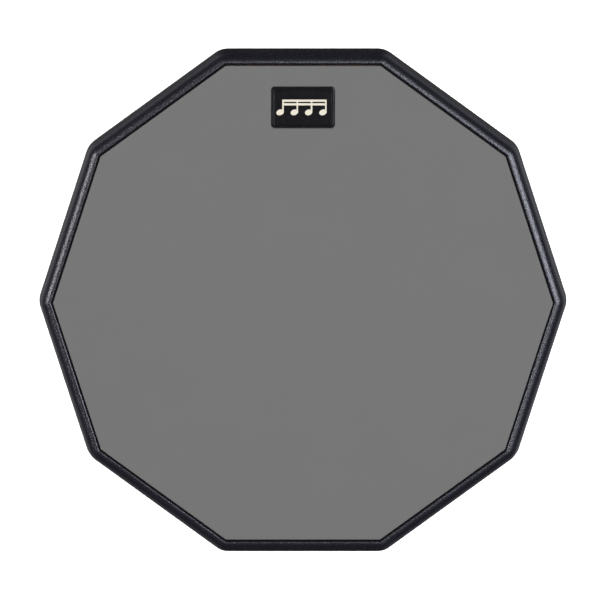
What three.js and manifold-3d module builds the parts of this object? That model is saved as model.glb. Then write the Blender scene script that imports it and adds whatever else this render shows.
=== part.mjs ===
// A ten-sided drum practice pad that lies flat on a table or screws onto a stand.
// A grey rubber playing surface, a foam sheet and a fibreboard core lie in a stack inside a moulded
// rim frame. A moulded cover closes the frame from below: ten screws hold it to the frame, and five
// more go through the rubber feet into the core. A tee nut in the core takes a stand's M8 rod.
// Millimetres, +Z up. The origin is on the table, under the middle of the pad, and +Y points to the badge.
import * as THREE from "three";
import { mergeVertices } from "three/addons/utils/BufferGeometryUtils.js";
import Module from "manifold-3d";

// ---- Driving dimensions ----

// Outline, seen from above. An apothem is the distance from the middle to the middle of a side.
const SIDES = 10;
const ACROSS_FLATS = 305; // over the housing, at the foot of its side wall
const CORNER_RADIUS = 14; // outside corners of the housing
const RIM_WIDTH = 9; // from the rubber's edge to the outside of the housing
const SHARP_RADIUS = 0.6; // corners that look sharp, such as the rubber's

// Heights, from the table up
const FOOT_STANDOFF = 3; // table to the cover's underside
const COVER_THICKNESS = 2.5;
const RIB_HEIGHT = 4.5; // ribs inside the cover, which carry the board
const BOARD_THICKNESS = 12;
const FOAM_THICKNESS = 3;
const RUBBER_THICKNESS = 6;
const RUBBER_EDGE = 0.8; // how far its top edge is rounded off

// Gaps between pieces
const SEAT_GAP = 0.3; // between faces that rest on each other, and round the badge
const GLUE_LINE = 0.3; // between bonded layers
const SURFACE_GAP = 0.4; // between the rubber's edge and the frame
const FOAM_INSET = 0.3; // the foam stops this far inside the rubber's edge
const CUT_OVERRUN = 1; // how far a cutting solid runs past the face it opens
const BOARD_CLEARANCE = 0.5; // round the board, inside the cover's tongue
const FIT_CLEARANCE = 0.4; // round bosses, feet and prongs

// Rim frame
const FRAME_WALL = 2.6; // outside wall at its foot
const WALL_DRAFT = 1.4; // how far the wall leans in towards its top
const INNER_WALL = 2.2; // wall between the coring channel and the stack
const BEAD_ROOF = 2.6; // material over the coring channel
const CREST_INSET = 1.8; // from the rubber's edge to the crest of the bead
const CREST_DROP = 0.8; // the crest lies this far below the rubber's top
const BEAD_INNER_DROP = 2.2; // how far the bead falls from its crest towards the rubber
const BEAD_OUTER_DROP = 5.5; // and towards the side wall
const BEAD_STEPS = 5; // facets round each side of the bead

// Cover
const COVER_WALL_HEIGHT = 5.1; // its rim, from the underside to the parting line
const PARTING_GAP = 0.4;
const COVER_EDGE_RADIUS = 1.5;
const TONGUE_THICKNESS = 1.4; // upstand that locates the frame
const TONGUE_HEIGHT = 2.4; // above the parting line
const RIB_WIDTH = 2;

// Screws that hold the cover to the frame
const BOSS_RADIUS = 3.5; // frame bosses, one in each corner
const BOSS_MERGE = 0.7; // how far a boss runs into the outside wall
const PILOT_RADIUS = 1.45;
const PILOT_DEPTH = 14;
const PILLAR_RADIUS = 4.6; // pillars on the cover, under the bosses
const COVER_SCREW = { head: 2.8, headHeight: 2, core: 1.1, length: 14 };
const COVER_SCREW_SINK = 0.6; // heads lie this far inside the cover's underside

// Feet and their screws
const FOOT_COUNT = 5;
const FOOT_RADIUS = 10;
const FOOT_CIRCLE = 125; // radius of the circle that the feet stand on
const FOOT_SOCKET_DEPTH = 1;
const FOOT_TAPER = 0.6;
const FOOT_EDGE = 1; // rounding at the outside of its sole
const FOOT_RECESS_EDGE = 0.4; // chamfer round the recess for its screw
const FOOT_PILLAR_RADIUS = 5.7; // round each foot's screw, inside the cover
const FOOT_RECESS_DEPTH = 2.2; // for the screw's head
const FOOT_SCREW = { head: 3.2, headHeight: 1.6, core: 1.3, length: 16 };
const SCREW_HOLE_CLEARANCE = 0.5; // radial, round a screw's core
const HEAD_CLEARANCE = 0.5; // radial, round a screw's head

// Stand mount
const THREAD_BORE_RADIUS = 3.35; // core of an M8 thread
const ROD_CLEARANCE_RADIUS = 4.6; // hole for the rod in the cover
const MOUNT_BOSS_RADIUS = 16;
const MOUNT_BOSS_DROP = 1.8; // the boss face lies this far below the cover's underside
const MOUNT_COLLAR_RADIUS = 9; // collar inside the cover, under the board
const TEE_NUT = { flange: 11, flangeHeight: 1.6, barrel: 5, barrelLength: 9.5 };
const PRONG = { count: 4, width: 2.6, thickness: 1.2, length: 6, circle: 9.6 };

// Badge
const BADGE_WIDTH = 37.8;
const BADGE_HEIGHT = 24.8;
const BADGE_RADIUS = 2.2;
const BADGE_EDGE_DISTANCE = 12.6; // from the rubber's top edge to the badge
const BADGE_PANEL = 1.3; // thickness of its panel
const BADGE_PANEL_SINK = 0.2; // the panel lies this far below the rubber's top
const BADGE_BORDER = 1.8; // width of the raised border
const BADGE_BORDER_RISE = 0.5; // above the panel
const BADGE_PANEL_RADIUS = 1.1; // corners of the panel, inside the border

// The four beamed notes on the badge
const NOTE = { count: 4, pitch: 8.6, headWidth: 4.6, headHeight: 3.4, stem: 0.9, height: 9.4 };
const NOTE_TILT = Math.PI / 9;
const STEM_INSET = 0.1; // a stem's outer face lies this far inside its note's edge
const NOTE_BEAM = { thickness: 1.3, gap: 0.9, count: 2 };
const MOTIF_RISE = 0.35;

// Facets round a full circle
const HOLE_FACETS = 10;
const SCREW_FACETS = 12;
const POST_FACETS = 16;
const ROUND_FACETS = 24;

// ---- What follows from them ----

const SIDE_ANGLE = (2 * Math.PI) / SIDES;
const outerApothem = ACROSS_FLATS / 2;
const rubberApothem = outerApothem - RIM_WIDTH;
const openingApothem = rubberApothem + SURFACE_GAP;
const crestApothem = rubberApothem + CREST_INSET;
const wallTopApothem = outerApothem - WALL_DRAFT;
const wallInsideApothem = outerApothem - FRAME_WALL;
const wallInsideRadius = CORNER_RADIUS - FRAME_WALL;
const tongueOutsideApothem = wallInsideApothem - SEAT_GAP;
const tongueInsideApothem = tongueOutsideApothem - TONGUE_THICKNESS;
const boardApothem = tongueInsideApothem - BOARD_CLEARANCE;

const coverBottom = FOOT_STANDOFF;
const coverFloor = coverBottom + COVER_THICKNESS;
const partingZ = coverBottom + COVER_WALL_HEIGHT;
const ribTop = coverFloor + RIB_HEIGHT;
const boardBottom = ribTop + SEAT_GAP;
const boardTop = boardBottom + BOARD_THICKNESS;
const foamBottom = boardTop + GLUE_LINE;
const rubberBottom = foamBottom + FOAM_THICKNESS + GLUE_LINE;
const rubberTop = rubberBottom + RUBBER_THICKNESS;
const crestZ = rubberTop - CREST_DROP;
const frameInnerFoot = boardTop + SEAT_GAP;

const badgeCentreY = rubberApothem - BADGE_EDGE_DISTANCE - BADGE_HEIGHT / 2;
const badgePanelTop = rubberTop - BADGE_PANEL_SINK;
const badgeBottom = badgePanelTop - BADGE_PANEL;
const pocketFloor = badgeBottom - GLUE_LINE;

// The middle of a side is at 90 degrees, so a corner is half a side further round.
const cornerAngles = Array.from({ length: SIDES }, (_, i) => Math.PI / 2 + (i + 0.5) * SIDE_ANGLE);
const sideAngles = Array.from({ length: SIDES }, (_, i) => Math.PI / 2 + i * SIDE_ANGLE);
const footAngles = Array.from(
  { length: FOOT_COUNT },
  (_, i) => Math.PI / 2 + (i * 2 * Math.PI) / FOOT_COUNT,
);

// How far a rounded corner reaches from the middle.
function cornerReach(apothem, radius) {
  return (apothem - radius) / Math.cos(SIDE_ANGLE / 2) + radius;
}
const bossCircle = cornerReach(wallInsideApothem, wallInsideRadius) + BOSS_MERGE - BOSS_RADIUS;

// ---- Materials ----

function plain(color, roughness, metalness = 0) {
  return new THREE.MeshStandardMaterial({ color, roughness, metalness });
}
const material = {
  rubber: plain(0x777777, 0.85),
  housing: plain(0x17171c, 0.45),
  badge: plain(0x1b1a20, 0.5),
  motif: plain(0xe9e6d8, 0.55),
  foam: plain(0x2b2b2d, 0.95),
  board: plain(0x9a7550, 0.9),
  zinc: plain(0xb8bcc2, 0.35, 1),
  blackScrew: plain(0x222226, 0.4, 1),
  foot: plain(0x141416, 0.8),
};

// ---- Solids ----

const wasm = await Module();
wasm.setup();

function toSolid(geometry) {
  const bare = geometry.index ? geometry.toNonIndexed() : geometry.clone();
  bare.deleteAttribute("normal");
  bare.deleteAttribute("uv");
  const merged = mergeVertices(bare, 1e-4);
  return new wasm.Manifold(
    new wasm.Mesh({
      numProp: 3,
      vertProperties: merged.attributes.position.array,
      triVerts: new Uint32Array(merged.index.array),
    }),
  );
}

function toGeometry(solid) {
  const mesh = solid.getMesh();
  const geometry = new THREE.BufferGeometry();
  geometry.setAttribute("position", new THREE.BufferAttribute(mesh.vertProperties, 3));
  geometry.setIndex(new THREE.BufferAttribute(mesh.triVerts, 1));
  geometry.computeVertexNormals();
  return geometry;
}

// A loop round the pad: a regular polygon with rounded corners, anticlockwise seen from above.
function roundedLoop(apothem, radius, arcSteps) {
  const points = [];
  const centreReach = (apothem - radius) / Math.cos(SIDE_ANGLE / 2);
  for (const corner of cornerAngles) {
    for (let i = 0; i <= arcSteps; i++) {
      const turn = corner + SIDE_ANGLE * (i / arcSteps - 0.5);
      points.push([
        centreReach * Math.cos(corner) + radius * Math.cos(turn),
        centreReach * Math.sin(corner) + radius * Math.sin(turn),
      ]);
    }
  }
  return points;
}

// A solid made of loops stacked from bottom to top: each row is [apothem, z, corner radius].
// With ring true the last row joins the first, so the rows go round a ring's section;
// otherwise the first and last rows are closed with flat ends.
function loopSolid(rows, { arcSteps = 4, ring = false } = {}) {
  const positions = [];
  const indices = [];
  for (const [apothem, z, radius] of rows) {
    for (const [x, y] of roundedLoop(apothem, radius, arcSteps)) positions.push(x, y, z);
  }
  const count = SIDES * (arcSteps + 1);
  const spans = ring ? rows.length : rows.length - 1;
  for (let row = 0; row < spans; row++) {
    const low = row * count;
    const high = ((row + 1) % rows.length) * count;
    for (let i = 0; i < count; i++) {
      const next = (i + 1) % count;
      indices.push(low + i, low + next, high + next, low + i, high + next, high + i);
    }
  }
  if (!ring) {
    const last = (rows.length - 1) * count;
    const middle = positions.length / 3;
    positions.push(0, 0, rows[0][1], 0, 0, rows[rows.length - 1][1]);
    for (let i = 0; i < count; i++) {
      const next = (i + 1) % count;
      indices.push(middle, next, i, middle + 1, last + i, last + next);
    }
  }
  const geometry = new THREE.BufferGeometry();
  geometry.setAttribute("position", new THREE.Float32BufferAttribute(positions, 3));
  geometry.setIndex(indices);
  return toSolid(geometry);
}

function prism(apothem, bottom, top, radius = SHARP_RADIUS, arcSteps = 1) {
  return loopSolid([[apothem, bottom, radius], [apothem, top, radius]], { arcSteps });
}

// A turned solid about Z. Each point of the profile is [radius, z], from bottom to top.
function turned(profile, segments = ROUND_FACETS) {
  const points = profile.map(([radius, z]) => new THREE.Vector2(radius, z));
  return toSolid(new THREE.LatheGeometry(points, segments).rotateX(Math.PI / 2));
}

function cylinder(radius, bottom, top, segments = ROUND_FACETS) {
  return turned([[0, bottom], [radius, bottom], [radius, top], [0, top]], segments);
}

function block(width, depth, bottom, top) {
  return toSolid(new THREE.BoxGeometry(width, depth, top - bottom).translate(0, 0, (top + bottom) / 2));
}

function extruded(shape, bottom, top, curveSegments = 4) {
  const options = { depth: top - bottom, bevelEnabled: false, curveSegments };
  return toSolid(new THREE.ExtrudeGeometry(shape, options).translate(0, 0, bottom));
}

function roundedRectangle(width, height, radius) {
  const [x, y] = [width / 2, height / 2];
  const shape = new THREE.Shape();
  shape.moveTo(-x + radius, -y);
  shape.absarc(x - radius, -y + radius, radius, -Math.PI / 2, 0, false);
  shape.absarc(x - radius, y - radius, radius, 0, Math.PI / 2, false);
  shape.absarc(-x + radius, y - radius, radius, Math.PI / 2, Math.PI, false);
  shape.absarc(-x + radius, -y + radius, radius, Math.PI, 1.5 * Math.PI, false);
  return shape;
}

// The solid moved out along an angle, turned to face that way.
function placed(solid, reach, angle) {
  const degrees = THREE.MathUtils.radToDeg(angle);
  return solid.translate([reach, 0, 0]).rotate([0, 0, degrees]);
}

function allOf(solid, reach, angles) {
  return wasm.Manifold.union(angles.map((angle) => placed(solid, reach, angle)));
}

// ---- Rim frame ----

// Corners go from rounded at the outside to sharp at the rubber.
function rimCorner(apothem) {
  const share = (apothem - openingApothem) / (outerApothem - openingApothem);
  return Math.max(SHARP_RADIUS, CORNER_RADIUS * share);
}

// One flank of the bead, a quarter ellipse from its outer or inner edge to the crest.
function beadFlank(edgeApothem, drop) {
  const rows = [];
  for (let i = 0; i <= BEAD_STEPS; i++) {
    const turn = (i / BEAD_STEPS) * (Math.PI / 2);
    const apothem = crestApothem + (edgeApothem - crestApothem) * Math.cos(turn);
    rows.push([apothem, crestZ - drop * (1 - Math.sin(turn)), rimCorner(apothem)]);
  }
  return rows;
}

function rimFrame() {
  const foot = partingZ + PARTING_GAP;
  const rebateTop = partingZ + TONGUE_HEIGHT + BOARD_CLEARANCE; // room for the cover's tongue
  const channelInside = openingApothem + INNER_WALL;
  const channelRoof = crestZ - BEAD_ROOF;
  const outside = [[outerApothem, foot, CORNER_RADIUS], ...beadFlank(wallTopApothem, BEAD_OUTER_DROP)];
  const section = [
    [wallInsideApothem, rebateTop, wallInsideRadius],
    [wallInsideApothem, foot, wallInsideRadius],
    ...outside,
    ...beadFlank(openingApothem, BEAD_INNER_DROP).reverse().slice(1),
    [openingApothem, frameInnerFoot, SHARP_RADIUS],
    [channelInside, frameInnerFoot, SHARP_RADIUS],
    [channelInside, channelRoof, SHARP_RADIUS],
    [wallInsideApothem - WALL_DRAFT, channelRoof, wallInsideRadius - WALL_DRAFT],
  ];
  const boss = cylinder(BOSS_RADIUS, foot, channelRoof + BEAD_ROOF / 2, POST_FACETS);
  const pilot = cylinder(PILOT_RADIUS, foot - CUT_OVERRUN, foot + PILOT_DEPTH, HOLE_FACETS);
  const stack = prism(openingApothem, boardTop, rubberTop);
  const bosses = allOf(boss, bossCircle, cornerAngles).intersect(loopSolid(outside)).subtract(stack);
  return loopSolid(section, { ring: true })
    .add(bosses)
    .subtract(allOf(pilot, bossCircle, cornerAngles));
}

// ---- The stack inside it ----

function playingSurface() {
  const halfway = RUBBER_EDGE * (1 - Math.SQRT1_2);
  const sheet = loopSolid(
    [
      [rubberApothem, rubberBottom, SHARP_RADIUS],
      [rubberApothem, rubberTop - RUBBER_EDGE, SHARP_RADIUS],
      [rubberApothem - halfway, rubberTop - halfway, SHARP_RADIUS],
      [rubberApothem - RUBBER_EDGE, rubberTop, SHARP_RADIUS],
    ],
    { arcSteps: 2 },
  );
  const outline = roundedRectangle(
    BADGE_WIDTH + 2 * SEAT_GAP,
    BADGE_HEIGHT + 2 * SEAT_GAP,
    BADGE_RADIUS + SEAT_GAP,
  );
  const pocket = extruded(outline, pocketFloor, rubberTop + CUT_OVERRUN);
  return sheet.subtract(pocket.translate([0, badgeCentreY, 0]));
}

function dampingSheet() {
  return prism(rubberApothem - FOAM_INSET, foamBottom, foamBottom + FOAM_THICKNESS);
}

function coreBoard() {
  const counterboreFloor = boardTop - TEE_NUT.flangeHeight - SEAT_GAP;
  const below = boardBottom - CUT_OVERRUN;
  const above = boardTop + CUT_OVERRUN;
  const notch = cylinder(BOSS_RADIUS + FIT_CLEARANCE, below, above, POST_FACETS);
  const screwTip = footScrewSeat + FOOT_SCREW.length;
  const screwHole = cylinder(FOOT_SCREW.core + FIT_CLEARANCE, below, screwTip + 1, HOLE_FACETS);
  const prongSlot = block(
    PRONG.thickness + 2 * SEAT_GAP,
    PRONG.width + 2 * SEAT_GAP,
    counterboreFloor - PRONG.length - SEAT_GAP,
    boardTop,
  );
  return prism(boardApothem, boardBottom, boardTop, 2, 2)
    .subtract(allOf(notch, bossCircle, cornerAngles))
    .subtract(cylinder(TEE_NUT.flange + FIT_CLEARANCE, counterboreFloor, above))
    .subtract(cylinder(TEE_NUT.barrel + FIT_CLEARANCE, below, boardTop))
    .subtract(allOf(prongSlot, PRONG.circle, prongAngles))
    .subtract(allOf(screwHole, FOOT_CIRCLE, footAngles));
}

// ---- Tee nut ----

const prongAngles = Array.from({ length: PRONG.count }, (_, i) => ((i + 0.5) * 2 * Math.PI) / PRONG.count);

function teeNut() {
  const flangeBottom = boardTop - TEE_NUT.flangeHeight;
  const barrelBottom = flangeBottom - TEE_NUT.barrelLength;
  const lead = 0.8; // chamfer at the mouth of the thread
  const body = turned([
    [THREAD_BORE_RADIUS, barrelBottom + lead],
    [THREAD_BORE_RADIUS + lead, barrelBottom],
    [TEE_NUT.barrel, barrelBottom],
    [TEE_NUT.barrel, flangeBottom],
    [TEE_NUT.flange, flangeBottom],
    [TEE_NUT.flange, boardTop],
    [THREAD_BORE_RADIUS, boardTop],
    [THREAD_BORE_RADIUS, barrelBottom + lead],
  ]);
  const prong = prongBlade(flangeBottom);
  return body.add(allOf(prong, PRONG.circle, prongAngles));
}

// A blade that narrows to a point, bent down from the flange.
function prongBlade(top) {
  const blade = new THREE.Shape();
  blade.moveTo(-PRONG.width / 2, 0.5);
  blade.lineTo(-PRONG.width / 2, -PRONG.length * 0.5);
  blade.lineTo(0, -PRONG.length);
  blade.lineTo(PRONG.width / 2, -PRONG.length * 0.5);
  blade.lineTo(PRONG.width / 2, 0.5);
  const geometry = new THREE.ExtrudeGeometry(blade, { depth: PRONG.thickness, bevelEnabled: false });
  geometry.translate(0, 0, -PRONG.thickness / 2);
  geometry.rotateX(Math.PI / 2).rotateZ(Math.PI / 2);
  return toSolid(geometry.translate(0, 0, top));
}

// ---- Cover ----

const coverScrewSeat = coverBottom + COVER_SCREW_SINK + COVER_SCREW.headHeight + SEAT_GAP;

function coverShell() {
  const edge = COVER_EDGE_RADIUS;
  return loopSolid([
    [outerApothem - edge, coverBottom, CORNER_RADIUS - edge],
    [outerApothem - edge * 0.3, coverBottom + edge * 0.3, CORNER_RADIUS - edge * 0.3],
    [outerApothem, coverBottom + edge, CORNER_RADIUS],
    [outerApothem, partingZ, CORNER_RADIUS],
    [tongueOutsideApothem, partingZ, CORNER_RADIUS - outerApothem + tongueOutsideApothem],
    [tongueOutsideApothem, partingZ + TONGUE_HEIGHT, CORNER_RADIUS - outerApothem + tongueOutsideApothem],
    [tongueInsideApothem, partingZ + TONGUE_HEIGHT, CORNER_RADIUS - outerApothem + tongueInsideApothem],
    [tongueInsideApothem, coverFloor, CORNER_RADIUS - outerApothem + tongueInsideApothem],
  ]);
}

// What stands on the cover starts inside its floor, so that the two merge.
const coverMiddle = coverBottom + COVER_THICKNESS / 2;

// Radial ribs to the middle of each side, and a ten-sided ring rib through the feet.
function coverRibs() {
  const ribEnd = tongueInsideApothem + TONGUE_THICKNESS / 2;
  const radial = block(ribEnd, RIB_WIDTH, coverMiddle, ribTop);
  const ring = prism(FOOT_CIRCLE + RIB_WIDTH / 2, coverMiddle, ribTop)
    .subtract(prism(FOOT_CIRCLE - RIB_WIDTH / 2, coverBottom, ribTop + CUT_OVERRUN));
  return allOf(radial, ribEnd / 2, sideAngles).add(ring);
}

function bottomCover() {
  const bossFace = coverBottom - MOUNT_BOSS_DROP;
  const under = bossFace - CUT_OVERRUN;
  const over = partingZ + TONGUE_HEIGHT + CUT_OVERRUN;
  const chamfer = 0.6;
  const mountBoss = turned([
    [0, bossFace],
    [MOUNT_BOSS_RADIUS - chamfer, bossFace],
    [MOUNT_BOSS_RADIUS, bossFace + chamfer],
    [MOUNT_BOSS_RADIUS, coverMiddle],
    [0, coverMiddle],
  ]);
  const collar = cylinder(MOUNT_COLLAR_RADIUS, coverMiddle, ribTop);
  const pillar = cylinder(PILLAR_RADIUS, coverMiddle, partingZ, POST_FACETS);
  const headPocket = cylinder(COVER_SCREW.head + HEAD_CLEARANCE, under, coverScrewSeat, POST_FACETS);
  const coverHole = cylinder(COVER_SCREW.core + SCREW_HOLE_CLEARANCE, under, over, HOLE_FACETS);
  const footPillar = cylinder(FOOT_PILLAR_RADIUS, coverMiddle, ribTop, POST_FACETS);
  const socket = cylinder(FOOT_RADIUS + FIT_CLEARANCE, under, coverBottom + FOOT_SOCKET_DEPTH);
  const footHole = cylinder(FOOT_SCREW.core + SCREW_HOLE_CLEARANCE, under, over, HOLE_FACETS);
  const bossRoom = cylinder(BOSS_RADIUS + FIT_CLEARANCE, partingZ, over, POST_FACETS);
  return coverShell()
    .add(coverRibs())
    .add(mountBoss)
    .add(collar)
    .add(allOf(pillar, bossCircle, cornerAngles))
    .add(allOf(footPillar, FOOT_CIRCLE, footAngles))
    .subtract(allOf(bossRoom, bossCircle, cornerAngles))
    .subtract(allOf(headPocket, bossCircle, cornerAngles))
    .subtract(allOf(coverHole, bossCircle, cornerAngles))
    .subtract(allOf(socket, FOOT_CIRCLE, footAngles))
    .subtract(allOf(footHole, FOOT_CIRCLE, footAngles))
    .subtract(cylinder(ROD_CLEARANCE_RADIUS, under, over));
}

// ---- Screws and feet ----

// A pan-head screw with a cross recess, standing on its head: bearing face at z 0, point up.
function panScrew({ head, headHeight, core, length }) {
  const body = turned([
    [0, -headHeight],
    [head * 0.55, -headHeight],
    [head * 0.9, -headHeight * 0.7],
    [head, -headHeight * 0.35],
    [head, 0],
    [core, 0],
    [core, length - 2 * core],
    [0, length],
  ], SCREW_FACETS);
  const slot = block(head * 1.2, head * 0.26, -headHeight - CUT_OVERRUN, -headHeight * 0.4);
  return body.subtract(slot.add(slot.rotate([0, 0, 90])));
}

const footTop = coverBottom + FOOT_SOCKET_DEPTH - SEAT_GAP;
const footScrewSeat = FOOT_RECESS_DEPTH - SEAT_GAP;

function rubberFoot() {
  const recess = FOOT_SCREW.head + HEAD_CLEARANCE;
  const hole = FOOT_SCREW.core + SCREW_HOLE_CLEARANCE;
  const sole = FOOT_RADIUS - FOOT_TAPER;
  const halfway = FOOT_EDGE * (1 - Math.SQRT1_2);
  return turned([
    [hole, FOOT_RECESS_DEPTH],
    [recess, FOOT_RECESS_DEPTH],
    [recess, FOOT_RECESS_EDGE],
    [recess + FOOT_RECESS_EDGE, 0],
    [sole - FOOT_EDGE, 0],
    [sole - halfway, halfway],
    [sole, FOOT_EDGE],
    [FOOT_RADIUS, coverBottom],
    [FOOT_RADIUS, footTop],
    [hole, footTop],
    [hole, FOOT_RECESS_DEPTH],
  ]);
}

// ---- Badge ----

function badgePlate() {
  const whole = roundedRectangle(BADGE_WIDTH, BADGE_HEIGHT, BADGE_RADIUS);
  const inside = roundedRectangle(
    BADGE_WIDTH - 2 * BADGE_BORDER,
    BADGE_HEIGHT - 2 * BADGE_BORDER,
    BADGE_PANEL_RADIUS,
  );
  const panelTop = badgePanelTop;
  return extruded(whole, badgeBottom, panelTop + BADGE_BORDER_RISE)
    .subtract(extruded(inside, panelTop, panelTop + BADGE_BORDER_RISE + CUT_OVERRUN))
    .translate([0, badgeCentreY, 0]);
}

// Four notes joined by two beams, centred on the badge.
function badgeMotif() {
  const { count, pitch, headWidth, headHeight, stem, height } = NOTE;
  const top = MOTIF_RISE;
  const headShape = new THREE.Shape();
  headShape.absellipse(0, 0, headWidth / 2, headHeight / 2, 0, 2 * Math.PI, false, NOTE_TILT);
  const head = extruded(headShape, 0, top, 12);
  const stemX = headWidth / 2 - stem / 2 - STEM_INSET;
  const stemSolid = block(stem, height - headHeight / 2, 0, top);
  const parts = [];
  for (let i = 0; i < count; i++) {
    const x = (i - (count - 1) / 2) * pitch - stemX / 2;
    parts.push(head.translate([x, 0, 0]));
    parts.push(stemSolid.translate([x + stemX, (height - headHeight / 2) / 2, 0]));
  }
  const beamWidth = (count - 1) * pitch + stem;
  for (let i = 0; i < NOTE_BEAM.count; i++) {
    const y = height - headHeight / 2 - NOTE_BEAM.thickness / 2 - i * (NOTE_BEAM.thickness + NOTE_BEAM.gap);
    parts.push(block(beamWidth, NOTE_BEAM.thickness, 0, top).translate([stemX / 2, y, 0]));
  }
  const centreY = badgeCentreY - (height - headHeight) / 2;
  return wasm.Manifold.union(parts).translate([0, centreY, badgePanelTop]);
}

// ---- Assembly ----

const pad = new THREE.Group();

function addPiece(name, solid, look) {
  const mesh = new THREE.Mesh(toGeometry(solid), look);
  mesh.name = name;
  pad.add(mesh);
  return mesh;
}

addPiece("playing_surface", playingSurface(), material.rubber);
addPiece("badge_plate", badgePlate(), material.badge);
addPiece("badge_motif", badgeMotif(), material.motif);
addPiece("rim_frame", rimFrame(), material.housing);
addPiece("damping_sheet", dampingSheet(), material.foam);
addPiece("core_board", coreBoard(), material.board);
addPiece("tee_nut", teeNut(), material.zinc);
addPiece("bottom_cover", bottomCover(), material.housing);

const coverScrew = panScrew(COVER_SCREW);
cornerAngles.forEach((angle, i) => {
  const name = "cover_screw_" + String(i + 1).padStart(2, "0");
  const mesh = addPiece(name, coverScrew, material.blackScrew);
  mesh.position.set(bossCircle * Math.cos(angle), bossCircle * Math.sin(angle), coverScrewSeat - SEAT_GAP);
  mesh.rotation.z = angle;
});

const foot = rubberFoot();
const footScrew = panScrew(FOOT_SCREW);
footAngles.forEach((angle, i) => {
  const place = new THREE.Group();
  place.position.set(FOOT_CIRCLE * Math.cos(angle), FOOT_CIRCLE * Math.sin(angle), 0);
  place.rotation.z = angle;
  place.add(addPiece(`foot_${i + 1}`, foot, material.foot));
  const screw = addPiece(`foot_screw_${i + 1}`, footScrew, material.blackScrew);
  screw.position.z = footScrewSeat;
  place.add(screw);
  pad.add(place);
});

export default pad;
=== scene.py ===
import math

import bmesh
import bpy
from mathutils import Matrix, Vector


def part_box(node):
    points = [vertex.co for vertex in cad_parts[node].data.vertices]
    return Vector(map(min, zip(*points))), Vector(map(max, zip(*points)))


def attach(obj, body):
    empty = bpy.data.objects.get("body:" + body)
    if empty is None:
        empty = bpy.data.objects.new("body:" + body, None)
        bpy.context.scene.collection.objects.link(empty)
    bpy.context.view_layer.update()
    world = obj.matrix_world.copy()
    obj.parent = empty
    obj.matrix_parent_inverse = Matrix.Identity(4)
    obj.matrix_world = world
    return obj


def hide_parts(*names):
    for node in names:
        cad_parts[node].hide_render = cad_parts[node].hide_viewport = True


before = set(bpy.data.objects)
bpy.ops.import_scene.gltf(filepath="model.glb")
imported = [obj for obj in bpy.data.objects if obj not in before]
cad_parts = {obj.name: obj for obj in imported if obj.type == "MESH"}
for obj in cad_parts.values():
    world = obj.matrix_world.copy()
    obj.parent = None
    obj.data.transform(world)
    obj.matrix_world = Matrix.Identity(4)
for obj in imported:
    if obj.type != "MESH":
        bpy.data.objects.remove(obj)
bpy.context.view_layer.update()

# ---- Sizes that the frame doesn't tell ----

SIDES = 10
SIDE_ANGLE = 2 * math.pi / SIDES
CORNER_RADIUS = 0.014  # outside corners of the housing
SHARP_RADIUS = 0.0006  # corners that look sharp

# Fineness
CORNER_STEPS = 12  # round each of the ten corners
BEAD_STEPS = 14  # round each flank of the bead
EDGE_STEPS = 6  # round a small edge
ROUND_SEGMENTS = 64
SCREW_SEGMENTS = 48
THREAD_ROWS = 12  # loops for each turn of a thread
SHARP_ANGLE = math.radians(38)  # edges that turn more than this stay sharp

# Gaps between pieces
SURFACE_GAP = 0.0004  # between the rubber's edge and the frame
PARTING_GAP = 0.0004  # between the frame and the cover
BOSS_SEAT_GAP = 0.0001  # from the parting face up to the room for the frame's bosses
SEAT_GAP = 0.0003  # between faces that rest on each other
FIT_CLEARANCE = 0.0004  # round bosses and feet
SCREW_CLEARANCE = 0.0005  # round heads and shanks
CUT_OVERRUN = 0.001  # how far a cutting shape runs past the face it opens

# Rim frame
CREST_INSET = 0.0018  # from the rubber's edge to the crest of the bead
BEAD_INNER_DROP = 0.0022  # how far the bead falls from its crest towards the rubber
BEAD_OUTER_DROP = 0.0055  # and towards the side wall
WALL_DRAFT = 0.0014  # how far the side wall leans in towards its top
FRAME_WALL = 0.0026
INNER_WALL = 0.0022
BEAD_ROOF = 0.0026  # material over the channel in the frame
REBATE_HEIGHT = 0.0026  # where the cover's tongue goes
MOULDED_EDGE = 0.0003  # rounding of edges that the mould leaves sharp
BOSS_RADIUS = 0.0035
PILOT_RADIUS = 0.00145

# Cover
COVER_THICKNESS = 0.0025
COVER_EDGE_RADIUS = 0.0015
TONGUE_THICKNESS = 0.0014
TONGUE_HEIGHT = 0.0024
RIB_WIDTH = 0.002
MOUNT_BOSS_RADIUS = 0.016
MOUNT_BOSS_CHAMFER = 0.0006
MOUNT_COLLAR_RADIUS = 0.009
ROD_HOLE_RADIUS = 0.0046
PILLAR_RADIUS = 0.0046
FOOT_PILLAR_RADIUS = 0.0057
FOOT_SOCKET_DEPTH = 0.001
HOLE_CHAMFER = 0.0004

# Screws. The thread stands out from the core by its depth.
COVER_SCREW = {"head": 0.0028, "height": 0.002, "core": 0.0011, "depth": 0.00035, "pitch": 0.0011}
FOOT_SCREW = {"head": 0.0032, "height": 0.0016, "core": 0.0013, "depth": 0.0004, "pitch": 0.0013}
SCREW_NECK = 0.0012  # plain length under the head
SCREW_POINT = 3  # length of the point, in core radii
HEAD_FLAT = 0.45  # share of the head's radius that is flat on top
CROSS_REACH = 0.62  # the recess in the head, as shares of the head's radius and height
CROSS_WIDTH = 0.15
CROSS_DEPTH = 0.65
CROSS_FLOOR = 0.55  # how much smaller it is at its bottom
TURN_BETWEEN_SCREWS = 0.7  # so that no two recesses stand alike

# Feet
FOOT_TAPER = 0.0006
SOLE_EDGE = 0.0008
FOOT_RECESS_DEPTH = 0.0022
FOOT_RECESS_EDGE = 0.0004
TREAD_RINGS = (0.4, 0.68)  # places across the sole
TREAD_DEPTH = 0.0003
TREAD_WIDTH = 0.0006

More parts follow.
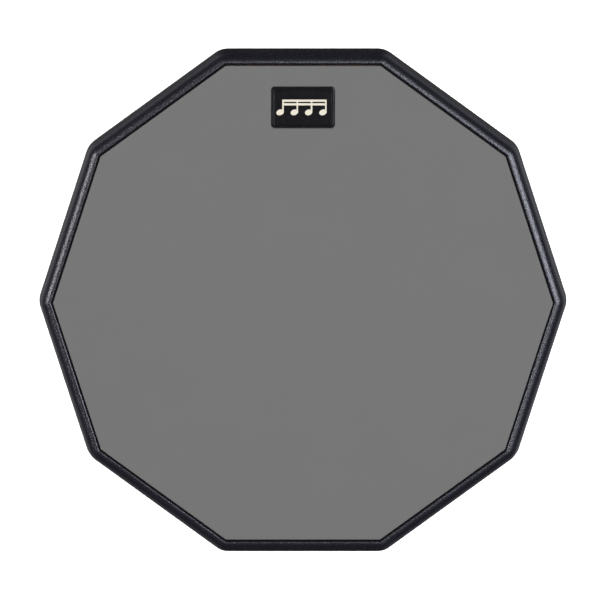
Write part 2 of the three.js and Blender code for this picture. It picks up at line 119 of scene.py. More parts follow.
# Tee nut with an M8 thread
M8_PITCH = 0.00125
M8_DEPTH = 0.00065
M8_CORE_RADIUS = 0.00335
BARREL_RADIUS = 0.005
FLANGE_HEIGHT = 0.0016
PRONGS = 4
PRONG_CIRCLE = 0.0096
PRONG_LENGTH = 0.006
PRONG_WIDTH = 0.0026
PRONG_THICKNESS = 0.0012

# Rubber, foam and badge
RUBBER_EDGE_RADIUS = 0.0008
POCKET_LIP_RADIUS = 0.0003
FOAM_BULGE = 0.0003  # how far the foam's edge swells between the layers it is pressed by
BADGE_RADIUS = 0.0022
BADGE_PANEL_RADIUS = 0.0011  # corners of the panel, inside the border
BADGE_BORDER = 0.0018
BADGE_BORDER_RISE = 0.0005
BADGE_EDGE_RADIUS = 0.0004
BADGE_SLOPE = 0.0004  # from the top of the border down to the panel


# ---- What the frame tells ----

def middle_of(node):
    low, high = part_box(node)
    return (Vector(low) + Vector(high)) / 2


def low_z(node):
    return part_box(node)[0][2]


def high_z(node):
    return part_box(node)[1][2]


def half_size(node, axis):
    low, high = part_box(node)
    return (high[axis] - low[axis]) / 2


cover_screws = sorted(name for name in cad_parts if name.startswith("cover_screw"))
foot_screws = sorted(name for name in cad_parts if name.startswith("foot_screw"))
feet = sorted(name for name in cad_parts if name.startswith("foot_") and name not in foot_screws)
corner_points = [middle_of(name) for name in cover_screws]
foot_points = [middle_of(name) for name in feet]

outer_apothem = half_size("rim_frame", 1)
rubber_apothem = half_size("playing_surface", 1)
opening_apothem = rubber_apothem + SURFACE_GAP
crest_apothem = rubber_apothem + CREST_INSET
wall_inside_apothem = outer_apothem - FRAME_WALL
parting_z = low_z("rim_frame") - PARTING_GAP
cover_bottom = high_z("foot_1") - FOOT_SOCKET_DEPTH + SEAT_GAP
rib_top = low_z("core_board") - SEAT_GAP


# ---- Loops: closed rings of points that the shapes are skinned over ----

def decagon(apothem, z, radius=SHARP_RADIUS):
    """A ten-sided loop round the pad, flat towards +Y, with rounded corners."""
    reach = (apothem - radius) / math.cos(SIDE_ANGLE / 2)
    points = []
    for side in range(SIDES):
        corner = math.pi / 2 + (side + 0.5) * SIDE_ANGLE
        for step in range(CORNER_STEPS + 1):
            turn = corner + SIDE_ANGLE * (step / CORNER_STEPS - 0.5)
            x = reach * math.cos(corner) + radius * math.cos(turn)
            y = reach * math.sin(corner) + radius * math.sin(turn)
            points.append(Vector((x, y, z)))
    return points


def circle(radius, z, centre=(0, 0), segments=ROUND_SEGMENTS):
    points = []
    for i in range(segments):
        turn = 2 * math.pi * i / segments
        points.append(Vector((centre[0] + radius * math.cos(turn), centre[1] + radius * math.sin(turn), z)))
    return points


def rectangle(half_width, half_height, radius, z, centre):
    """A loop with rounded corners, one quadrant after the other."""
    points = []
    for quadrant in range(4):
        across = half_width - radius if quadrant in (0, 3) else radius - half_width
        up = half_height - radius if quadrant in (0, 1) else radius - half_height
        for step in range(EDGE_STEPS + 1):
            turn = (quadrant + step / EDGE_STEPS) * math.pi / 2
            x = centre[0] + across + radius * math.cos(turn)
            y = centre[1] + up + radius * math.sin(turn)
            points.append(Vector((x, y, z)))
    return points


def threaded(radius, depth, pitch, z):
    """A slice of a thread at this height: its radius goes up and down once round the core."""
    points = []
    for i in range(SCREW_SEGMENTS):
        share = i / SCREW_SEGMENTS
        phase = (z / pitch - share) % 1
        here = radius + depth * abs(2 * phase - 1)
        turn = 2 * math.pi * share
        points.append(Vector((here * math.cos(turn), here * math.sin(turn), z)))
    return points


def quarter(steps=EDGE_STEPS):
    """Shares along and up a quarter circle, from (1, 0) to (0, 1)."""
    turns = [math.pi / 2 * i / steps for i in range(steps + 1)]
    return [(math.cos(turn), math.sin(turn)) for turn in turns]


def flat_loop(points, z):
    return [Vector((point.x, point.y, z)) for point in points]


# ---- Meshes ----

def skin(bm, loops, ring=False):
    """Quads between loops of equal length: closed with flat ends, or into a ring."""
    rows = [[bm.verts.new(point) for point in loop] for loop in loops]
    following = rows[1:] + rows[:1] if ring else rows[1:]
    for low, high in zip(rows, following):
        for i in range(len(low)):
            j = (i + 1) % len(low)
            bm.faces.new((low[i], low[j], high[j], high[i]))
    if not ring:
        bm.faces.new(list(reversed(rows[0])))
        bm.faces.new(rows[-1])


def skin_open(bm, loops):
    """The same with the last loop left open. Returns the edges round the opening."""
    skin(bm, loops)
    bm.faces.ensure_lookup_table()
    lid = bm.faces[-1]
    opening = list(lid.edges)
    bmesh.ops.delete(bm, geom=[lid], context="FACES_ONLY")
    return opening


def add_object(name, bm):
    bmesh.ops.recalc_face_normals(bm, faces=bm.faces)
    mesh = bpy.data.meshes.new(name)
    bm.to_mesh(mesh)
    bm.free()
    piece = bpy.data.objects.new(name, mesh)
    bpy.context.scene.collection.objects.link(piece)
    return piece


def skinned(name, *shells):
    """One object made of closed shells, each a (loops, ring) pair."""
    bm = bmesh.new()
    for loops, ring in shells:
        skin(bm, loops, ring)
    return add_object(name, bm)


def combined(piece, tools, operation):
    """The piece joined to the tools, or cut by them. The tools are used up."""
    modifier = piece.modifiers.new("combine", "BOOLEAN")
    modifier.operation = operation
    modifier.solver = "EXACT"
    modifier.use_self = True
    modifier.object = tools
    graph = bpy.context.evaluated_depsgraph_get()
    result = bpy.data.meshes.new_from_object(piece.evaluated_get(graph))
    piece.modifiers.clear()
    piece.data = result
    bpy.data.objects.remove(tools)
    return piece


def smooth(mesh):
    """Smooth shading that keeps the sharp edges."""
    bm = bmesh.new()
    bm.from_mesh(mesh)
    for face in bm.faces:
        face.smooth = True
    for edge in bm.edges:
        edge.smooth = len(edge.link_faces) == 2 and edge.calc_face_angle() < SHARP_ANGLE
    bm.to_mesh(mesh)
    bm.free()


def present(piece, material, node):
    """Gives a piece its material and its even shading, and says what it stands for."""
    piece.name = node + "_look"
    piece.data.materials.clear()
    piece.data.materials.append(material)
    weighted = piece.modifiers.new("weighted_normals", "WEIGHTED_NORMAL")
    weighted.keep_sharp = True
    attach(piece, "root")
    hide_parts(node)


# ---- Materials ----

NOISE_RANGE = (0.3, 0.7)  # most of a noise's values lie in it


class Graph:
    """A node tree, and short ways to add nodes to it."""

    def __init__(self, tree):
        self.tree = tree

    def feed(self, socket, value):
        """Links another node's output to the socket, or sets the socket's own value."""
        if isinstance(value, bpy.types.NodeSocket):
            self.tree.links.new(value, socket)
        else:
            socket.default_value = value

    def add(self, kind, inputs=None, **settings):
        node = self.tree.nodes.new(kind)
        for key, value in settings.items():
            setattr(node, key, value)
        for key, value in (inputs or {}).items():
            self.feed(node.inputs[key], value)
        return node

    def maths(self, operation, *values):
        node = self.add("ShaderNodeMath", dict(enumerate(values)), operation=operation)
        return node.outputs["Value"]

    def mapped(self, value, start, end, low, high, interpolation="LINEAR"):
        """The value's range from start to end mapped to low..high."""
        inputs = {"Value": value, "From Min": start, "From Max": end, "To Min": low, "To Max": high}
        node = self.add("ShaderNodeMapRange", inputs, interpolation_type=interpolation)
        return node.outputs["Result"]


class Finish(Graph):
    """A new material with a Principled shader. Its own sockets are set by keyword."""

    def __init__(self, name, **values):
        self.material = bpy.data.materials.new(name)
        self.material.use_nodes = True
        super().__init__(self.material.node_tree)
        self.shader = self.tree.nodes["Principled BSDF"]
        self.place = self.add("ShaderNodeTexCoord").outputs["Object"]
        self.wire(**values)

    def wire(self, **sockets):
        for key, value in sockets.items():
            self.feed(self.shader.inputs[key.replace("_", " ")], value)
        return self.material

    def stretched(self, scale):
        inputs = {"Vector": self.place, "Scale": scale}
        return self.add("ShaderNodeMapping", inputs).outputs["Vector"]

    def noise(self, size, detail=2, roughness=0.5, vector=None):
        """Noise with features about this large, in metres."""
        inputs = {
            "Vector": vector or self.place,
            "Scale": 1 / size,
            "Detail": detail,
            "Roughness": roughness,
        }
        return self.add("ShaderNodeTexNoise", inputs).outputs["Fac"]

    def cells(self, size):
        inputs = {"Vector": self.place, "Scale": 1 / size}
        return self.add("ShaderNodeTexVoronoi", inputs).outputs["Distance"]

    def between(self, noise, low=0, high=1):
        """A noise's usual range mapped to low..high."""
        return self.mapped(noise, *NOISE_RANGE, low, high)

    def blend(self, factor, first, second):
        """A mix of two colours, each linear RGBA or another node's output."""
        mix = self.add("ShaderNodeMix", {"Factor": factor}, data_type="RGBA")
        colour_inputs = [socket for socket in mix.inputs if socket.type == "RGBA"]
        for socket, colour in zip(colour_inputs, (first, second)):
            self.feed(socket, colour)
        return next(socket for socket in mix.outputs if socket.type == "RGBA")

    def bump(self, height, depth):
        """Bump of this depth, in metres."""
        inputs = {"Height": height, "Distance": depth, "Strength": 1}
        return self.add("ShaderNodeBump", inputs).outputs["Normal"]


def grey(value):
    return (value, value, value, 1)


def grey_rubber():
    """Smooth moulded rubber with a very fine, even grain and the faintest mottling."""
    finish = Finish("grey_rubber", Specular_IOR_Level=0.25)
    grain = finish.noise(0.0005, detail=3)
    mottle = finish.noise(0.03, detail=4)
    return finish.wire(
        Base_Color=finish.blend(
            finish.between(mottle), (0.1098, 0.1107, 0.1134, 1), (0.1118, 0.1127, 0.1154, 1)
        ),
        Roughness=finish.between(grain, 0.72, 0.84),
        Normal=finish.bump(grain, 0.00003),
    )


def moulded_plastic():
    """Blue-black plastic with the fine spark-eroded grain of its mould."""
    finish = Finish("moulded_plastic", IOR=1.5, Specular_Tint=(0.84, 0.87, 1, 1))
    grain = finish.noise(0.0007, detail=3, roughness=0.6)
    patches = finish.noise(0.02, detail=3)
    return finish.wire(
        Base_Color=finish.blend(
            finish.between(patches), (0.006, 0.0057, 0.0092, 1), (0.008, 0.0077, 0.012, 1)
        ),
        Roughness=finish.between(grain, 0.22, 0.34),
        Normal=finish.bump(grain, 0.00014),
    )


def soft_vinyl():
    """The badge's soft moulded vinyl: satin, with a faint orange-peel surface."""
    finish = Finish("soft_vinyl", Specular_IOR_Level=0.22)
    peel = finish.noise(0.0009)
    return finish.wire(
        Base_Color=finish.blend(
            finish.between(peel), (0.0028, 0.0027, 0.0042, 1), (0.004, 0.0039, 0.0056, 1)
        ),
        Roughness=finish.between(peel, 0.15, 0.21),
        Normal=finish.bump(peel, 0.00002),
    )


def cream_print():
    """Raised cream ink, slightly uneven."""
    finish = Finish("cream_print", IOR=1.48)
    ink = finish.noise(0.0007, detail=3)
    return finish.wire(
        Base_Color=finish.blend(finish.between(ink), (0.5, 0.475, 0.4, 1), (0.56, 0.535, 0.455, 1)),
        Roughness=finish.between(ink, 0.45, 0.6),
        Normal=finish.bump(ink, 0.00002),
    )


def cell_foam():
    """Closed-cell foam: small round cells cut open at its faces, with painted shade darkening the hollow of
    each cell.
    """
    finish = Finish("cell_foam", Specular_IOR_Level=0.2)
    cells = finish.cells(0.0008)
    patches = finish.noise(0.01, detail=4)
    return finish.wire(
        # Painted shade: the colour goes darker towards each cell's middle, where the bump sinks it into a
        # hollow.
        Base_Color=finish.blend(finish.between(cells), grey(0.012), grey(0.032)),
        Roughness=finish.between(patches, 0.82, 0.95),
        Normal=finish.bump(cells, 0.0002),
    )


def fibreboard():
    """Raw fibreboard: short matted fibres and darker specks."""
    finish = Finish("fibreboard", Specular_IOR_Level=0.2)
    fibres = finish.noise(0.0012, detail=6, roughness=0.7, vector=finish.stretched((1, 0.35, 1)))
    specks = finish.noise(0.006, detail=5)
    matted = finish.blend(finish.between(fibres), (0.24, 0.14, 0.075, 1), (0.4, 0.26, 0.15, 1))
    return finish.wire(
        Base_Color=finish.blend(finish.between(specks, 0, 0.35), matted, (0.15, 0.085, 0.045, 1)),
        Roughness=finish.between(fibres, 0.8, 0.95),
        Normal=finish.bump(fibres, 0.0001),
    )


def zinc_steel():
    """Zinc-plated steel: bright, with fine drawing marks and dull patches."""
    finish = Finish("zinc_steel", Metallic=1)
    marks = finish.noise(0.0004, detail=3, vector=finish.stretched((1, 1, 0.15)))
    patches = finish.noise(0.004, detail=4)
    return finish.wire(
        Base_Color=finish.blend(finish.between(patches), (0.5, 0.52, 0.55, 1), (0.66, 0.67, 0.68, 1)),
        Roughness=finish.between(patches, 0.24, 0.42),
        Normal=finish.bump(marks, 0.00001),
    )


def black_oxide():
    """Blackened screw steel with a slightly worn, oily sheen."""
    finish = Finish("black_oxide", Metallic=1)
    wear = finish.noise(0.0008, detail=5)
    return finish.wire(
        Base_Color=finish.blend(finish.between(wear), grey(0.025), grey(0.07)),
        Roughness=finish.between(wear, 0.28, 0.45),
        Normal=finish.bump(wear, 0.00001),
    )


def foot_rubber():
    """Black rubber with a matt, slightly dusty skin."""
    finish = Finish("foot_rubber", Specular_IOR_Level=0.35)
    dust = finish.noise(0.003, detail=5)
    grain = finish.noise(0.0003)
    return finish.wire(
        Base_Color=finish.blend(finish.between(dust), grey(0.007), grey(0.013)),
        Roughness=finish.between(dust, 0.6, 0.78),
        Normal=finish.bump(grain, 0.00003),
    )


# ---- Rim frame ----

def bead_flank(edge_apothem, drop):
    """One flank of the bead, a quarter ellipse from its edge to the crest.

    The corners go from rounded at the outside to sharp at the rubber.
    """
    loops = []
    for along, up in quarter(BEAD_STEPS):
        apothem = crest_apothem + (edge_apothem - crest_apothem) * along
        share = (apothem - opening_apothem) / (outer_apothem - opening_apothem)
        radius = max(SHARP_RADIUS, CORNER_RADIUS * share)
        loops.append(decagon(apothem, high_z("rim_frame") - drop * (1 - up), radius))
    return loops


def tube(outside, inside, bottom, top, centre):
    section = ((inside, bottom), (outside, bottom), (outside, top), (inside, top))
    return [circle(radius, z, centre) for radius, z in section], True


def rim_frame():
    foot = low_z("rim_frame")
    inner_foot = low_z("damping_sheet")
    roof = high_z("rim_frame") - BEAD_ROOF
    inside_radius = CORNER_RADIUS - FRAME_WALL
    channel_inside = opening_apothem + INNER_WALL
    section = [decagon(wall_inside_apothem, z, inside_radius) for z in (foot + REBATE_HEIGHT, foot)]
    for along, up in quarter():
        apothem = outer_apothem - MOULDED_EDGE * (1 - up)
        section.append(decagon(apothem, foot + MOULDED_EDGE * (1 - along), CORNER_RADIUS))
    section += bead_flank(outer_apothem - WALL_DRAFT, BEAD_OUTER_DROP)
    section += reversed(bead_flank(opening_apothem, BEAD_INNER_DROP)[:-1])
    section += [
        decagon(opening_apothem, inner_foot),
        decagon(channel_inside, inner_foot),
        decagon(channel_inside, roof),
        decagon(wall_inside_apothem - WALL_DRAFT, roof, inside_radius - WALL_DRAFT),
    ]
    boss_top = high_z("core_board")
    bosses = [tube(BOSS_RADIUS, PILOT_RADIUS, foot, boss_top, point) for point in corner_points]
    rim = combined(skinned("rim", (section, True)), skinned("bosses", *bosses), "UNION")
    smooth(rim.data)
    return rim


# ---- Playing surface and foam ----

def playing_surface():
    """A rubber sheet with a rounded edge, and a pocket for the badge with a softened lip."""
    bottom, top = low_z("playing_surface"), high_z("playing_surface")
    badge = middle_of("badge_plate")
    half_x = half_size("badge_plate", 0) + SEAT_GAP
    half_y = half_size("badge_plate", 1) + SEAT_GAP
    corner = BADGE_RADIUS + SEAT_GAP
    outside = [decagon(rubber_apothem, bottom)]
    for along, up in quarter():
        apothem = rubber_apothem - RUBBER_EDGE_RADIUS * (1 - along)
        outside.append(decagon(apothem, top - RUBBER_EDGE_RADIUS * (1 - up)))
    pocket = [rectangle(half_x, half_y, corner, low_z("badge_plate") - SEAT_GAP, badge)]
    for along, up in quarter():
        grow = POCKET_LIP_RADIUS * (1 - along)
        z = top - POCKET_LIP_RADIUS * (1 - up)
        pocket.append(rectangle(half_x + grow, half_y + grow, corner + grow, z, badge))
    bm = bmesh.new()
    rims = skin_open(bm, outside) + skin_open(bm, pocket)
    bmesh.ops.triangle_fill(bm, edges=rims, use_beauty=True)
    surface = add_object("surface", bm)
    smooth(surface.data)
    return surface


def damping_sheet():
    """A foam sheet pressed flat between the rubber and the board, so that its edge swells."""
    bottom, top = low_z("damping_sheet"), high_z("damping_sheet")
    edge = half_size("damping_sheet", 1) - FOAM_BULGE
    steps = 2 * EDGE_STEPS
    loops = []
    for step in range(steps + 1):
        share = step / steps
        loops.append(decagon(edge + FOAM_BULGE * math.sin(math.pi * share), bottom + (top - bottom) * share))
    foam = skinned("foam", (loops, False))
    smooth(foam.data)
    return foam


# ---- Badge ----

def badge_plate():
    """A moulded plate whose raised border slopes in to a sunk panel."""
    centre = middle_of("badge_plate")
    half_x, half_y = half_size("badge_plate", 0), half_size("badge_plate", 1)
    bottom, top = low_z("badge_plate"), high_z("badge_plate")
    profile = [(0, bottom)]
    for along, up in quarter():
        profile.append((BADGE_EDGE_RADIUS * (1 - along), top - BADGE_EDGE_RADIUS * (1 - up)))
    for along, up in quarter():
        profile.append((BADGE_BORDER - BADGE_SLOPE * (1 - up), top - BADGE_BORDER_RISE * (1 - along)))
    profile.append((BADGE_BORDER + BADGE_SLOPE, top - BADGE_BORDER_RISE))
    loops = []
    for inset, z in profile:
        radius = max(BADGE_RADIUS - inset, BADGE_PANEL_RADIUS)
        loops.append(rectangle(half_x - inset, half_y - inset, radius, z, centre))
    plate = skinned("badge", (loops, False))
    smooth(plate.data)
    return plate


# ---- Cover ----

def cover_shell():
    """The tray: floor, outside wall with a rounded bottom edge, and the tongue that locates the frame."""
    loops = []
    for along, up in quarter():
        inset = COVER_EDGE_RADIUS * (1 - up)
        z = cover_bottom + COVER_EDGE_RADIUS * (1 - along)
        loops.append(decagon(outer_apothem - inset, z, CORNER_RADIUS - inset))
    for along, up in quarter():
        apothem = outer_apothem - MOULDED_EDGE * (1 - along)
        loops.append(decagon(apothem, parting_z - MOULDED_EDGE * (1 - up), CORNER_RADIUS))
    tongue = wall_inside_apothem - SEAT_GAP
    tongue_top = parting_z + TONGUE_HEIGHT
    for apothem, z in (
        (tongue, parting_z),
        (tongue, tongue_top),
        (tongue - TONGUE_THICKNESS, tongue_top),
        (tongue - TONGUE_THICKNESS, cover_bottom + COVER_THICKNESS),
    ):
        loops.append(decagon(apothem, z, CORNER_RADIUS - outer_apothem + apothem))
    return skinned("cover", (loops, False))


def rib(end, bottom, top):
    """An upright rib from the middle of the cover to this point."""
    side = Vector((-end.y, end.x, 0)).normalized() * RIB_WIDTH / 2
    corners = (-side, end - side, end + side, side)
    return [flat_loop(corners, z) for z in (bottom, top)], False


def post(radius, bottom, top, centre=(0, 0)):
    return [circle(radius, z, centre) for z in (bottom, top)], False


def cover_ribs():
    """Radial ribs, a ring rib through the feet, and the pillars and collar that carry the board."""
    middle = cover_bottom + COVER_THICKNESS / 2
    reach = wall_inside_apothem - SEAT_GAP - TONGUE_THICKNESS / 2
    shells = []
    for side in range(SIDES):
        turn = math.pi / 2 + side * SIDE_ANGLE
        end = Vector((math.cos(turn), math.sin(turn), 0)) * reach
        shells.append(rib(end, middle, rib_top))
    ring = foot_points[0].xy.length
    inside, outside = ring - RIB_WIDTH / 2, ring + RIB_WIDTH / 2
    section = ((inside, middle), (outside, middle), (outside, rib_top), (inside, rib_top))
    shells.append(([decagon(apothem, z) for apothem, z in section], True))
    shells.append(post(MOUNT_COLLAR_RADIUS, middle, rib_top))
    shells += [post(PILLAR_RADIUS, middle, parting_z, point) for point in corner_points]
    shells += [post(FOOT_PILLAR_RADIUS, middle, rib_top, point) for point in foot_points]
    face = low_z("bottom_cover")
    boss = (
        (MOUNT_BOSS_RADIUS - MOUNT_BOSS_CHAMFER, face),
        (MOUNT_BOSS_RADIUS, face + MOUNT_BOSS_CHAMFER),
        (MOUNT_BOSS_RADIUS, middle),
    )
    shells.append(([circle(radius, z) for radius, z in boss], False))
    return skinned("ribs", *shells)


def hole(face, steps, centre=(0, 0)):
    """A cutter that goes in at a face, with a chamfer, and up through (radius, top) steps."""
    mouth = steps[0][0] + HOLE_CHAMFER
    section = [(mouth, face - CUT_OVERRUN), (mouth, face)]
    bottom = face + HOLE_CHAMFER
    for radius, top in steps:
        section += [(radius, bottom), (radius, top)]
        bottom = top
    return [circle(radius, z, centre) for radius, z in section], False


def cover_holes():
    """Counterbored screw holes, foot sockets, room for the bosses, and the hole for the stand's rod."""
    over = parting_z + TONGUE_HEIGHT + CUT_OVERRUN
    screw_seat = low_z(cover_screws[0]) + COVER_SCREW["height"] + SEAT_GAP
    screw_steps = (
        (COVER_SCREW["head"] + SCREW_CLEARANCE, screw_seat),
        (COVER_SCREW["core"] + SCREW_CLEARANCE, parting_z + BOSS_SEAT_GAP),
        (BOSS_RADIUS + FIT_CLEARANCE, over),
    )
    foot_steps = (
        (half_size(feet[0], 0) + FIT_CLEARANCE, cover_bottom + FOOT_SOCKET_DEPTH),
        (FOOT_SCREW["core"] + SCREW_CLEARANCE, over),
    )
    shells = [hole(low_z("bottom_cover"), [(ROD_HOLE_RADIUS, over)])]
    shells += [hole(cover_bottom, screw_steps, point) for point in corner_points]
    shells += [hole(cover_bottom, foot_steps, point) for point in foot_points]
    return skinned("holes", *shells)


def bottom_cover():
    ribbed = combined(cover_shell(), cover_ribs(), "UNION")
    cover = combined(ribbed, cover_holes(), "DIFFERENCE")
    smooth(cover.data)
    return cover


# ---- Screws, feet and tee nut ----

def cross_recess(sizes):
    """A cutter of two tapering arms, sunk into a screw's head."""
    top, floor = -sizes["height"], -sizes["height"] * (1 - CROSS_DEPTH)
    arms = []
    for turn in (0, math.pi / 2):
        along = Vector((math.cos(turn), math.sin(turn), 0)) * sizes["head"] * CROSS_REACH
        across = Vector((-math.sin(turn), math.cos(turn), 0)) * sizes["head"] * CROSS_WIDTH
        sections = []
        for share, z in ((1, top - CUT_OVERRUN), (1, top), (CROSS_FLOOR, floor)):
            a, b = along * share, across * share
            sections.append(flat_loop((a - b, a + b, b - a, -a - b), z))
        arms.append((sections, False))
    return skinned("cross", *arms)


def screw_mesh(node, sizes):
    """A pan-head screw that points up, with the bearing face of its head at z 0."""
    head, height, core = sizes["head"], sizes["height"], sizes["core"]
    length = 2 * half_size(node, 2) - height
    loops = []
    for along, up in reversed(quarter()):
        radius = head * (HEAD_FLAT + (1 - HEAD_FLAT) * along)
        loops.append(circle(radius, -height * up, segments=SCREW_SEGMENTS))
    loops.append(circle(core, 0, segments=SCREW_SEGMENTS))
    rows = THREAD_ROWS * int((length - SCREW_NECK) / sizes["pitch"])
    for row in range(rows):
        z = SCREW_NECK + (length - SCREW_NECK) * row / rows
        taper = min(1, (length - z) / (SCREW_POINT * core))
        run_in = min(1, row / THREAD_ROWS)
        loops.append(threaded(core * taper, sizes["depth"] * taper * run_in, sizes["pitch"], z))
    screw = combined(skinned("screw", (loops, False)), cross_recess(sizes), "DIFFERENCE")
    mesh = screw.data
    bpy.data.objects.remove(screw)
    smooth(mesh)
    return mesh


def screws(nodes, sizes, material):
    """A piece for each screw. They share a mesh, and each is turned on from the one before."""
    mesh = screw_mesh(nodes[0], sizes)
    for count, node in enumerate(nodes):
        screw = bpy.data.objects.new(node, mesh)
        bpy.context.scene.collection.objects.link(screw)
        centre = middle_of(node)
        screw.location = (centre.x, centre.y, low_z(node) + sizes["height"])
        screw.rotation_euler.z = TURN_BETWEEN_SCREWS * count
        present(screw, material, node)


def rubber_foot(node):
    """A turned rubber foot with a recess for its screw, rounded edges and two shallow tread rings."""
    radius, bottom, top = half_size(node, 0), low_z(node), high_z(node)
    bore = FOOT_SCREW["core"] + SCREW_CLEARANCE
    recess = FOOT_SCREW["head"] + SCREW_CLEARANCE
    sole = radius - FOOT_TAPER
    profile = [(bore, bottom + FOOT_RECESS_DEPTH), (recess, bottom + FOOT_RECESS_DEPTH)]
    for along, up in quarter():
        profile.append((recess + FOOT_RECESS_EDGE * (1 - along), bottom + FOOT_RECESS_EDGE * (1 - up)))
    for share in TREAD_RINGS:
        ring = recess + (sole - recess) * share
        profile.append((ring - TREAD_WIDTH / 2, bottom))
        profile.append((ring - TREAD_WIDTH / 4, bottom + TREAD_DEPTH))
        profile.append((ring + TREAD_WIDTH / 4, bottom + TREAD_DEPTH))
        profile.append((ring + TREAD_WIDTH / 2, bottom))
    for along, up in quarter():
        profile.append((sole - SOLE_EDGE * (1 - up), bottom + SOLE_EDGE * (1 - along)))
    profile.append((radius, cover_bottom))
    profile.append((radius, top - MOULDED_EDGE))
    profile.append((radius - MOULDED_EDGE, top))
    profile.append((bore, top))
    centre = middle_of(node)
    foot = skinned("foot", ([circle(r, z, centre) for r, z in profile], True))
    smooth(foot.data)
    return foot


def prong(turn, top):
    """A pointed blade bent down from the tee nut's flange.

    Its sections are (share of its width, share of its length) from the point up, into the flange.
    """
    out = Vector((math.cos(turn), math.sin(turn), 0))
    across = Vector((-math.sin(turn), math.cos(turn), 0)) * PRONG_WIDTH / 2
    middle, through = out * PRONG_CIRCLE, out * PRONG_THICKNESS / 2
    sections = []
    for width, drop in ((0.05, 1), (0.5, 0.8), (1, 0.5), (1, -0.08)):
        a = across * width
        corners = (middle - a - through, middle + a - through, middle + a + through, middle - a + through)
        sections.append(flat_loop(corners, top - PRONG_LENGTH * drop))
    return sections, False


def tee_nut():
    """A stamped tee nut: threaded barrel, flange with rounded edges, and prongs."""
    bottom, top = low_z("tee_nut"), high_z("tee_nut")
    flange = half_size("tee_nut", 0)
    under = top - FLANGE_HEIGHT
    edge = MOULDED_EDGE
    mouth = M8_CORE_RADIUS + M8_DEPTH
    section = (
        (mouth, bottom),
        (BARREL_RADIUS - edge, bottom),
        (BARREL_RADIUS, bottom + edge),
        (BARREL_RADIUS, under - edge),
        (BARREL_RADIUS + edge, under),
        (flange - edge, under),
        (flange, under + edge),
        (flange, top - edge),
        (flange - edge, top),
        (mouth, top),
    )
    loops = [circle(radius, z, segments=SCREW_SEGMENTS) for radius, z in section]
    start, end = top - M8_DEPTH, bottom + M8_DEPTH
    rows = THREAD_ROWS * int((start - end) / M8_PITCH)
    for row in range(rows + 1):
        z = start + (end - start) * row / rows
        loops.append(threaded(M8_CORE_RADIUS, M8_DEPTH, M8_PITCH, z))
    prongs = [prong((i + 0.5) * 2 * math.pi / PRONGS, under) for i in range(PRONGS)]
    nut = combined(skinned("tee", (loops, True)), skinned("prongs", *prongs), "UNION")
    smooth(nut.data)
    return nut


# ---- Object ----

def finish_cad_node(node, material):
    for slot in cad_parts[node].material_slots:
        slot.material = material


def build_pad():
    plastic = moulded_plastic()
    present(rim_frame(), plastic, "rim_frame")
    present(bottom_cover(), plastic, "bottom_cover")
    present(playing_surface(), grey_rubber(), "playing_surface")
    present(badge_plate(), soft_vinyl(), "badge_plate")
    present(tee_nut(), zinc_steel(), "tee_nut")
    foam = damping_sheet()
    present(foam, cell_foam(), "damping_sheet")
    rubber = foot_rubber()
    for node in feet:
        present(rubber_foot(node), rubber, node)
    steel = black_oxide()
    screws(cover_screws, COVER_SCREW, steel)
    screws(foot_screws, FOOT_SCREW, steel)
    finish_cad_node("badge_motif", cream_print())
    finish_cad_node("core_board", fibreboard())


# ---- Studio ----

STUDIO_RADIUS = 12
STUDIO_BEND = 1  # radius of the curve from the floor up to the wall
STUDIO_HEIGHT = 4
STUDIO_SEGMENTS = 96
FLOOR_DROP = 0.0002  # so that the feet don't touch it
FLOOR_GLOW = 0.85
AIR_COLOUR = (0.95, 0.97, 1, 1)
AIR_STRENGTH = 0.03
REFLECTOR_STRENGTH = 0.5
REFLECTOR_SIDES = (0.1, 0.6)  # a direction's share of X over which the reflectors fade in
REFLECTOR_TOPS = (-0.2, 0.1)  # and its share of Z over which they fade out
LIGHT_DISTANCE = 2.6
WARM_WHITE = (1, 0.965, 0.9)
CAMERA_DISTANCE = 6.05
CAMERA_TILT = math.radians(5)  # towards the badge
CAMERA_LENS = 600  # mm
CAMERA_REACH = 50
CAMERA_ASIDE = -0.0018  # where it aims, from the pad's middle
CAMERA_UP = 0.0006


def studio_white():
    finish = Finish("studio_white", Roughness=0.9, Specular_IOR_Level=0.1)
    paper = finish.noise(0.4)
    return finish.wire(
        Base_Color=finish.blend(paper, grey(0.8), grey(0.82)),
        Emission_Color=grey(1),
        Emission_Strength=FLOOR_GLOW,
    )


def studio_floor():
    """A pale floor that curves up into a wall far behind the object. The object doesn't mirror it."""
    loops = []
    for along, up in quarter():
        radius = STUDIO_RADIUS - STUDIO_BEND * (1 - up)
        loops.append(circle(radius, STUDIO_BEND * (1 - along), segments=STUDIO_SEGMENTS))
    loops.append(circle(STUDIO_RADIUS, STUDIO_HEIGHT, segments=STUDIO_SEGMENTS))
    bm = bmesh.new()
    skin_open(bm, loops)
    floor = add_object("studio_floor", bm)
    smooth(floor.data)
    floor.location.z = -FLOOR_DROP
    floor.visible_glossy = False
    floor.data.materials.append(studio_white())


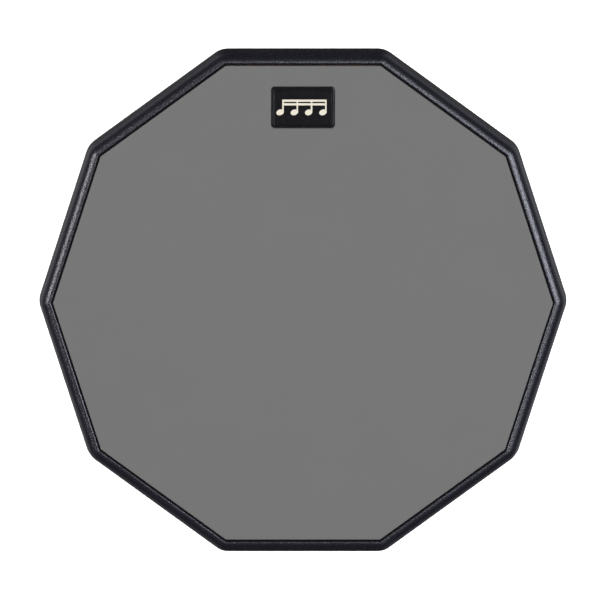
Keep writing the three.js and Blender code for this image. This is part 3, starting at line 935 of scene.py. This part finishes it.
def softbox(name, azimuth, from_zenith, width, height, power, colour=(1, 1, 1)):
    """An area light that faces the pad. The angles are degrees, and azimuth is anticlockwise from +X."""
    light = bpy.data.lights.new(name, "AREA")
    light.shape = "RECTANGLE"
    light.size = width
    light.size_y = height
    light.energy = power
    light.color = colour
    box = bpy.data.objects.new(name, light)
    bpy.context.scene.collection.objects.link(box)
    turn, lean = math.radians(azimuth), math.radians(from_zenith)
    toward = Vector((math.sin(lean) * math.cos(turn), math.sin(lean) * math.sin(turn), math.cos(lean)))
    box.location = toward * LIGHT_DISTANCE
    box.rotation_euler = toward.to_track_quat("Z", "Y").to_euler()
    box.visible_camera = False


def studio_air():
    """Dim all round, apart from pale reflectors low down to the left and right."""
    world = bpy.data.worlds.new("studio_air")
    world.use_nodes = True
    graph = Graph(world.node_tree)
    place = graph.add("ShaderNodeTexCoord").outputs["Generated"]
    direction = graph.add("ShaderNodeSeparateXYZ", {0: place}).outputs
    either_side = graph.maths("ABSOLUTE", direction["X"])
    sideways = graph.mapped(either_side, *REFLECTOR_SIDES, 0, 1, "SMOOTHSTEP")
    low_down = graph.mapped(direction["Z"], *REFLECTOR_TOPS, REFLECTOR_STRENGTH, 0, "SMOOTHSTEP")
    reflectors = graph.maths("MULTIPLY", sideways, low_down)
    background = world.node_tree.nodes["Background"]
    graph.feed(background.inputs["Color"], AIR_COLOUR)
    graph.feed(background.inputs["Strength"], graph.maths("ADD", reflectors, AIR_STRENGTH))
    return world


def light_studio():
    softbox("softbox_right", azimuth=10, from_zenith=26, width=0.45, height=1.6, power=66)
    softbox("softbox_left", azimuth=170, from_zenith=39, width=0.65, height=0.7, power=45, colour=WARM_WHITE)
    bpy.context.scene.world = studio_air()
    bpy.context.scene.view_settings.view_transform = "Standard"


def place_camera():
    """Nearly straight above the pad, with the badge at the top of the picture."""
    camera = bpy.data.objects.new("camera", bpy.data.cameras.new("camera"))
    bpy.context.scene.collection.objects.link(camera)
    camera.data.lens = CAMERA_LENS
    camera.data.clip_end = CAMERA_REACH
    target = Vector((CAMERA_ASIDE, CAMERA_UP, high_z("rim_frame") / 2))
    back = Vector((0, math.sin(CAMERA_TILT), math.cos(CAMERA_TILT)))
    camera.location = target + back * CAMERA_DISTANCE
    camera.rotation_euler.x = -CAMERA_TILT
    bpy.context.scene.camera = camera


build_pad()
studio_floor()
light_studio()
place_camera()
